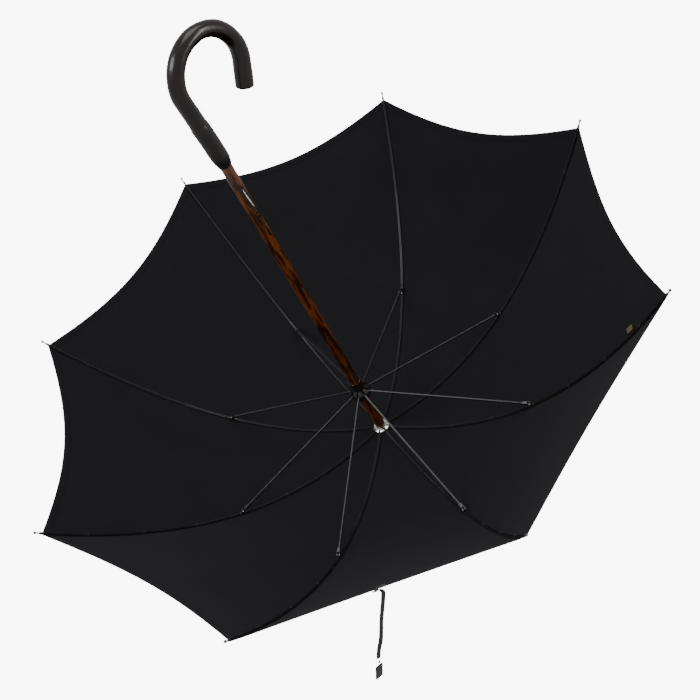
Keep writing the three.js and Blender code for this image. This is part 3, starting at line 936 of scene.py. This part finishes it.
grey_steel = Finish("drawn_steel", Base_Color=(0.09, 0.09, 0.092, 1), Metallic=1.0, Roughness=0.4)
draw_lines = grey_steel.noise(grey_steel.places(), 420, 6, 0.6)
grey_steel.feed("Base Color",
                grey_steel.ramp(draw_lines, [(0.3, (0.05, 0.05, 0.052)), (0.7, (0.13, 0.13, 0.135))]))
grey_steel.feed("Roughness", grey_steel.level(draw_lines, 0.3, 0.7, 0.34, 0.5))
grey_steel.bump(draw_lines, 0.00003)

# ---- Springs and stop pin ----------------------------------------------------------------
# Two blades of spring steel stand out of their pockets: the top spring holds the runner open
# and the hand spring holds it shut. The pin stops the runner short of the notch.
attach(refine("hand_spring", "hand_spring_blade", nickel, 0.0003, 3), "hand_spring")
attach(refine("top_spring", "top_spring_blade", nickel, 0.0003, 3), "top_spring")
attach(refine("stop_pin", "stop_pin_rod", nickel, 0.0002), "shaft")


# ---- Handle ------------------------------------------------------------------------------
# A crook bent from one stick of dark, close-grained wood. The neck is a little thicker,
# dull, and rounded down to the shaft, and the bend is rubbed smooth and glossy.
HANDLE_LOW = 0.591
LEAN = math.radians(3)
LEAN_Z = 0.600
CROOK_STRAIGHT = 0.099
CROOK_RADIUS = 0.0525
CROOK_TURN = math.radians(208)
NOSE = 0.033
HANDLE_RADIUS = 0.0112
CROOK_SIDE = math.radians(86)


def crook_line():
    """Points along the middle of the handle, about a millimetre and a half apart, with their distances."""
    along = Vector((-math.sin(LEAN), 0, math.cos(LEAN)))
    across_way = Vector((math.cos(LEAN), 0, math.sin(LEAN)))
    spacing = 0.0015
    total = LEAN_Z - HANDLE_LOW + CROOK_STRAIGHT + CROOK_RADIUS * CROOK_TURN + NOSE
    line = []
    for step in range(int(total / spacing) + 1):
        distance = step * spacing
        rest = distance - (LEAN_Z - HANDLE_LOW)
        if rest < 0:
            line.append((Vector((0, 0, HANDLE_LOW + distance)), distance))
            continue
        straight = min(rest, CROOK_STRAIGHT)
        point = Vector((0, 0, LEAN_Z)) + along * straight
        turn = min(max(rest - CROOK_STRAIGHT, 0) / CROOK_RADIUS, CROOK_TURN)
        point += along * CROOK_RADIUS * math.sin(turn) + across_way * CROOK_RADIUS * (1 - math.cos(turn))
        past = max(rest - CROOK_STRAIGHT - CROOK_RADIUS * CROOK_TURN, 0)
        point += (along * math.cos(CROOK_TURN) + across_way * math.sin(CROOK_TURN)) * past
        line.append((point, distance))
    return line, total


def handle_thickness(distance, total):
    """The handle's radius as a share of the crook's, from the shaft end to the rounded nose."""
    profile = [(0.0, 0.82), (0.004, 0.9), (0.011, 1.03), (0.016, 1.07), (0.03, 1.09), (0.063, 1.1),
               (0.0665, 1.09), (0.0705, 1.02), (0.11, 1.0), (0.17, 0.99), (0.21, 0.94), (0.25, 0.99),
               (0.29, 1.04), (total - 0.012, 1.08), (total - 0.003, 1.07), (total - 0.0014, 1.02),
               (total - 0.0005, 0.92), (total, 0.78)]
    for (near, thin), (far, thick) in zip(profile, profile[1:]):
        if distance <= far:
            share = (distance - near) / (far - near)
            return thin + (thick - thin) * share * share * (3 - 2 * share)
    return profile[-1][1]


line, handle_length = crook_line()
handle = sweep("crook_handle", [point for point, _ in line], HANDLE_RADIUS,
               [handle_thickness(distance, handle_length) for _, distance in line])
measure = handle.data.attributes.new("along", "FLOAT", "POINT")
for index, vertex in enumerate(handle.data.vertices):
    near, distance = min(line, key=lambda spot: (spot[0] - vertex.co).length_squared)
    outward = vertex.co - near
    wave = math.sin(distance * 95) * math.cos(distance * 41 + outward.x * 160) * 0.00022
    knot = 0.0006 * math.exp(-((distance - 0.196) / 0.005) ** 2) * max(0.0, outward.normalized().z * -1)
    vertex.co += outward.normalized() * (wave + knot)
    measure.data[index].value = distance / handle_length
bore = turned("bore", [(0, HANDLE_LOW - 0.01), (SHAFT_RADIUS + 0.0002, HANDLE_LOW - 0.01),
                       (SHAFT_RADIUS + 0.0002, SHAFT_TOP + 0.0003), (0, SHAFT_TOP + 0.0003)])
carve(handle, bore)

dark_wood = Finish("dark_polished_wood", Base_Color=(0.02, 0.01, 0.008, 1), Roughness=0.3,
                   Specular_IOR_Level=0.3, Coat_Weight=0.35, Coat_Roughness=0.15)
length_share = dark_wood.node("ShaderNodeAttribute", {"attribute_name": "along"}, output="Fac")
wood_space = dark_wood.places(turn=(-TILT, 0, 0), scale=(1, 1, 0.2))
mottle = dark_wood.noise(wood_space, 120, 6, 0.6)
pores = dark_wood.noise(wood_space, 900, 4, 0.6)
rubbed = dark_wood.level(length_share, 0.19, 0.27, 0.0, 1.0)
warm = dark_wood.ramp(mottle, [(0.35, (0.004, 0.0022, 0.0018)), (0.6, (0.009, 0.0045, 0.0035)),
                               (0.8, (0.022, 0.01, 0.006))])
dull = dark_wood.ramp(pores, [(0.3, (0.006, 0.0045, 0.004)), (0.7, (0.013, 0.0095, 0.008))])
dark_wood.feed("Base Color", dark_wood.mix(rubbed, dull, warm))
dark_wood.feed("Roughness", (1 - rubbed) * 0.24 + mottle * 0.12 + 0.2)
dark_wood.bump(pores * 0.6 + mottle * 0.4, 0.00012)
settle(handle, CROOK_SIDE)
dress(handle, dark_wood, 50)
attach(handle, "shaft")
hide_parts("handle")


# ---- Top notch, rosette and ferrule ------------------------------------------------------
# The nickel notch is a slotted ring fixed to the shaft, and a wire through its lobes holds
# the ribs' eyes. Outside the cloth a black washer and the long ferrule close the crown.
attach(refine("top_notch", "notch_ring", nickel, 0.001, 3, 40), "shaft")


def add_wire_ring(name, radius, wire, height, finish):
    """A ring of hinge wire round the shaft."""
    start_fresh()
    bpy.ops.mesh.primitive_torus_add(major_radius=radius, minor_radius=wire, major_segments=64,
                                     minor_segments=10, location=(0, 0, height))
    loop = bpy.context.object
    loop.name = name
    settle(loop)
    return dress(loop, finish)


HINGE_WIRE = 0.0005
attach(add_wire_ring("notch_wire", hinge_radius, HINGE_WIRE, 0, steel_wire), "shaft")

CLEARANCE = 0.0003
BORE = SHAFT_RADIUS + CLEARANCE
rosette = turned("rosette_washer", [(BORE, -0.0063), (BORE, -0.0073), (0.0165, -0.0073), (0.0178, -0.0071),
                                    (0.0185, -0.0068), (0.0186, -0.0065), (0.0183, -0.0063)])
settle(rosette)
dress(rosette, lacquer)
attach(rosette, "shaft")
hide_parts("outer_rosette")

FERRULE_LOW = -0.072
ferrule = turned("ferrule_cap", [(0, FERRULE_LOW), (0.0036, FERRULE_LOW), (0.0042, FERRULE_LOW + 0.0008),
                                 (0.0044, FERRULE_LOW + 0.008), (0.0048, FERRULE_LOW + 0.0086),
                                 (0.0056, FERRULE_LOW + 0.0092), (0.0064, FERRULE_LOW + 0.016),
                                 (0.0092, -0.034), (0.0095, -0.02), (0.0098, -0.0125), (0.0102, -0.0115),
                                 (0.0104, -0.0105), (0.0104, -0.0085), (0.01, -0.0077), (BORE, -0.0077),
                                 (BORE, -0.0303), (0, -0.0303)])
settle(ferrule)
dress(ferrule, lacquer)
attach(ferrule, "shaft")
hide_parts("ferrule")


# ---- Runner ------------------------------------------------------------------------------
# A moulded black sleeve that slides on the shaft. Its flared head has a slot for each
# stretcher, with a hinge wire through the lobes, and a bright rim binds its lower end.
moulded = Finish("moulded_black", Base_Color=(0.01, 0.01, 0.012, 1), Roughness=0.36, Specular_IOR_Level=0.3)
moulded_spots = moulded.noise(moulded.places(), 260, 5)
moulded.feed("Base Color",
             moulded.ramp(moulded_spots, [(0.3, (0.007, 0.007, 0.008)), (0.7, (0.014, 0.014, 0.016))]))
moulded.feed("Roughness", moulded.level(moulded_spots, 0.3, 0.7, 0.28, 0.42))
moulded.bump(moulded_spots, 0.00004)
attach(refine("runner", "runner_sleeve", moulded, 0.0005, 3, 30), "runner")
rim_metal = Finish("tarnished_rim", Base_Color=(0.2, 0.15, 0.1, 1), Metallic=1.0, Roughness=0.3)
rim_spots = rim_metal.noise(rim_metal.places(), 300, 5)
rim_metal.feed("Base Color", rim_metal.ramp(rim_spots, [(0.3, (0.1, 0.07, 0.045)), (0.7, (0.3, 0.23, 0.16))]))
rim_metal.feed("Roughness", rim_metal.level(rim_spots, 0.3, 0.7, 0.22, 0.36))
rim_metal.bump(rim_spots, 0.00002)
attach(refine("runner_rim", "runner_bound_rim", rim_metal, 0.0002, 2, 30), "runner")
RUNNER_HINGE = 0.0125
RUNNER_WIRE_Z = 0.0995
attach(add_wire_ring("runner_wire", RUNNER_HINGE, HINGE_WIRE, RUNNER_WIRE_Z, steel_wire),
        "runner")


# ---- Stretchers --------------------------------------------------------------------------
# Straight struts of grey steel from the runner to the ribs. Each is forked round the rib's
# lug, and a rivet with domed heads holds it there.
RIVET_HEAD = 0.0019
RIVET_DOME = 0.42
RIVET_SIDE = 0.0024
for number in range(1, RIBS + 1):
    body = f"stretcher_{number}"
    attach(refine(body, f"strut_{number}", grey_steel, 0.0003, 2), body)
    for end in (-1, 1):
        start_fresh()
        bpy.ops.mesh.primitive_uv_sphere_add(segments=24, ring_count=12, radius=RIVET_HEAD)
        head = bpy.context.object
        head.name = f"rivet_{number}_{'near' if end < 0 else 'far'}"
        head.data.transform(Matrix.Translation((JOINT_RADIUS, end * RIVET_SIDE, joint_spot.z))
                            @ Matrix.Diagonal((1, RIVET_DOME, 1, 1)))
        settle(head, rib_turn(number))
        dress(head, nickel)
        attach(head, body)


# ---- Rib tips ----------------------------------------------------------------------------
# A small steel cap closes the end of each rib, and a thin neck and a ball stand past the
# corner of the cloth that is sewn to it.
tip_outline = [(0, 0), (0.0019, 0), (0.0021, 0.0006), (0.002, 0.0028), (0.0014, 0.0042), (0.0011, 0.0058),
               (0.00105, 0.0092)]
for step in range(9):
    angle = math.radians(-58 + 148 * step / 8)
    tip_outline.append((max(0.0, 0.0021 * math.cos(angle)), 0.011 + 0.0021 * math.sin(angle)))
tip_master = turned("tip_master", tip_outline, 32)
end_x, end_z = beside_rib(RIB_END, 0)
end_slope = rib_slope(RIB_END)
tip_master.data.transform(Matrix.Translation((end_x, 0, end_z))
                          @ Matrix.Rotation(math.pi / 2 - end_slope, 4, "Y")
                          @ Matrix.Translation((0, 0, 0.0003)))
for number in range(1, RIBS + 1):
    tip = settle(copy_of(tip_master, f"tip_ball_{number}"), rib_turn(number))
    dress(tip, grey_steel)
    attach(tip, f"rib_{number}")
    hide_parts(f"tip_{number}")
bpy.data.objects.remove(tip_master)
